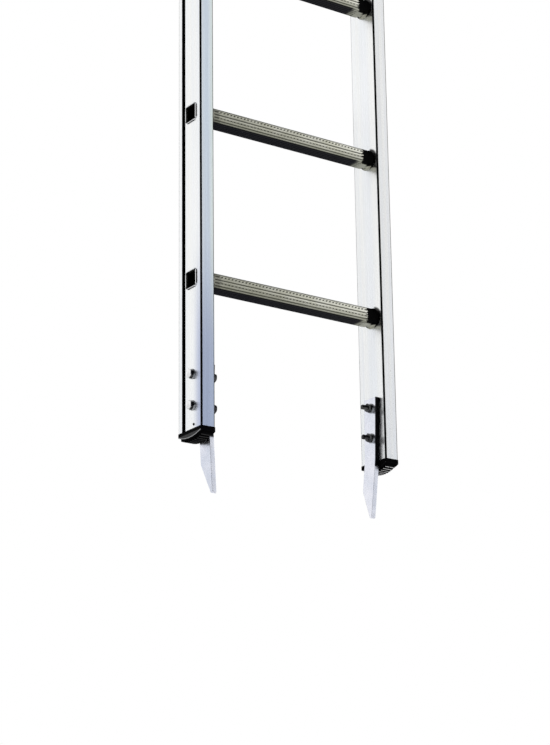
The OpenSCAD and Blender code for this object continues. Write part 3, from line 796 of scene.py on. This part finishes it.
M8_R = 4 * MM
M8_PITCH = 1.25 * MM
M8_THREAD_DEPTH = 0.68 * MM
HEX_FLATS = 13 * MM
HEX_CHAMFER_R = 6.15 * MM
HEX_CHAMFER_L = 0.55 * MM
HEX_CHAMFER_STEPS = 5
HEAD_H = 5.3 * MM
NUT_H = 6.5 * MM
NUT_CHAMFER = 0.35 * MM
NUT_PLAY = 0.05 * MM
WASHER_R = 8 * MM
WASHER_T = 1.6 * MM
WASHER_BORE = 4.25 * MM
WASHER_EDGE = 0.25 * MM
TIP_R = 2.7 * MM
TIP_L = 0.6 * MM
# How far the bolts stand out of their nuts
THREAD_ENDS = {"left": 1.5 * MM, "right": 10 * MM}
LOCK_THREAD_END = 3 * MM
STEPS_PER_TURN = 8


def hexagon(cut):
    """Radius of a hexagon by angle, cut down to a circle at the chamfer."""
    def radius(angle):
        from_flat = (angle + math.pi / 6) % (math.pi / 3) - math.pi / 6
        return min(HEX_FLATS / 2 / math.cos(from_flat), cut)
    return radius


def hex_rings(x0, x1, centre, chamfers):
    """Rings of a hexagon prism from x0 to x1, with the corners turned off at the chosen ends."""
    full = HEX_FLATS / math.sqrt(3)
    steps = HEX_CHAMFER_STEPS
    drop = HEX_CHAMFER_L * (1 if x1 > x0 else -1)
    cuts = [(i, HEX_CHAMFER_R + (full - HEX_CHAMFER_R) * i / steps) for i in range(steps)]
    rings = []
    if chamfers[0]:
        rings += [circle(x0 + drop * i / steps, hexagon(cut), centre) for i, cut in cuts]
    rings.append(circle(x0 + drop * chamfers[0], hexagon(full), centre))
    rings.append(circle(x1 - drop * chamfers[1], hexagon(full), centre))
    if chamfers[1]:
        cuts.reverse()
        rings += [circle(x1 - drop * i / steps, hexagon(cut), centre) for i, cut in cuts]
    return rings


def thread_radius(x, fade):
    """Radius of an M8 thread by angle at one place along it."""
    def radius(angle):
        phase = (x / M8_PITCH + angle / (2 * math.pi)) % 1
        return M8_R - M8_THREAD_DEPTH * fade * abs(2 * phase - 1)
    return radius


def add_bolt(bm, side, head_x, end_x, thread_l, centre):
    """A hexagon bolt along X, its head towards the outside, with a real helical thread at its end."""
    sign = SIDES[side]
    rings = [circle(sign * end_x, TIP_R, centre)]
    steps = int(thread_l / M8_PITCH * STEPS_PER_TURN)
    for i in range(steps + 1):
        along = TIP_L + thread_l * i / steps
        fade = min(1, (steps - i) / STEPS_PER_TURN)
        rings.append(circle(sign * (end_x + along), thread_radius(along, fade), centre))
    rings.append(circle(sign * head_x, M8_R, centre))
    rings += hex_rings(sign * head_x, sign * (head_x + HEAD_H), centre, (0, 1))
    skin(bm, rings)


def add_nut(bm, side, x0, centre):
    sign = SIDES[side]
    bore = M8_R + NUT_PLAY
    mouth = bore + NUT_CHAMFER
    x1 = x0 + NUT_H
    inner = [(x1, mouth), (x1 - NUT_CHAMFER, bore), (x0 + NUT_CHAMFER, bore), (x0, mouth)]
    rings = hex_rings(sign * x0, sign * x1, centre, (1, 1))
    rings += [circle(sign * x, r, centre) for x, r in inner]
    skin(bm, rings, closed=True)


def add_washer(bm, side, x0, centre):
    sign = SIDES[side]
    edge = WASHER_EDGE
    profile = [
        (0, WASHER_BORE), (0, WASHER_R - edge), (edge, WASHER_R), (WASHER_T - edge, WASHER_R),
        (WASHER_T, WASHER_R - edge), (WASHER_T, WASHER_BORE),
    ]
    skin(bm, [circle(sign * (x0 + x), r, centre) for x, r in profile], closed=True)


def spike_bolt_places():
    """Side and centre (Y and Z) of each of the four spike bolts."""
    low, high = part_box("spike_bolts")
    reach = HEX_FLATS / math.sqrt(3)
    y = (low.y + high.y) / 2
    return [(side, (y, z)) for side in SIDES for z in (low.z + reach, high.z - reach)]


def add_spike_fasteners():
    bolts, nuts, heads, backs = bmesh.new(), bmesh.new(), bmesh.new(), bmesh.new()
    nut_x = INNER_X - SPIKE_T - WASHER_T - NUT_H
    for side, centre in spike_bolt_places():
        end_x = nut_x - THREAD_ENDS[side]
        add_bolt(bolts, side, OUTER_X + WASHER_T, end_x, THREAD_ENDS[side] + NUT_H, centre)
        add_nut(nuts, side, nut_x, centre)
        add_washer(heads, side, OUTER_X, centre)
        add_washer(backs, side, nut_x + NUT_H, centre)
    body = "base_section"
    add_piece("spike_bolts_threaded", shaded(bolts, "spike_bolts"), "bolt_steel", body, ["spike_bolts"])
    add_piece("spike_nuts_chamfered", shaded(nuts, "spike_nuts"), "bolt_steel", body, ["spike_nuts"])
    add_piece("head_washers", shaded(heads, "head_washers"), "washer_zinc", body, ["spike_head_washers"])
    add_piece("nut_washers", shaded(backs, "nut_washers"), "washer_zinc", body, ["spike_nut_washers"])


def add_lock_fasteners():
    low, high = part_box("lock_nuts")
    centre = ((low.y + high.y) / 2, (low.z + high.z) / 2)
    nut_x = high.x - NUT_H
    end_x = nut_x - LOCK_THREAD_END
    bolts, nuts, washers = bmesh.new(), bmesh.new(), bmesh.new()
    for side in SIDES:
        add_bolt(bolts, side, OUTER_X + WASHER_T, end_x, NUT_H + 2 * LOCK_THREAD_END, centre)
        add_nut(nuts, side, nut_x, centre)
        add_washer(washers, side, nut_x + NUT_H, centre)
        add_washer(washers, side, OUTER_X, centre)
    body = "fly_section"
    add_piece("pivot_bolts_threaded", shaded(bolts, "pivot_bolts"), "bolt_steel", body, ["lock_pivot_bolts"])
    add_piece("lock_nuts_chamfered", shaded(nuts, "lock_nuts"), "bolt_steel", body, ["lock_nuts"])
    add_piece("pivot_washers", shaded(washers, "pivot_washers"), "washer_zinc", body, ["lock_washers"])


add_spike_fasteners()
add_lock_fasteners()

for section in ("base", "fly"):
    add_softened(f"{section}_guide_rivets", 0.5 * MM, "rivet_aluminium", f"{section}_section")
for side in SIDES:
    add_softened(f"catch_pin_{side}", 0.4 * MM, "bolt_steel", f"lock_{side}")
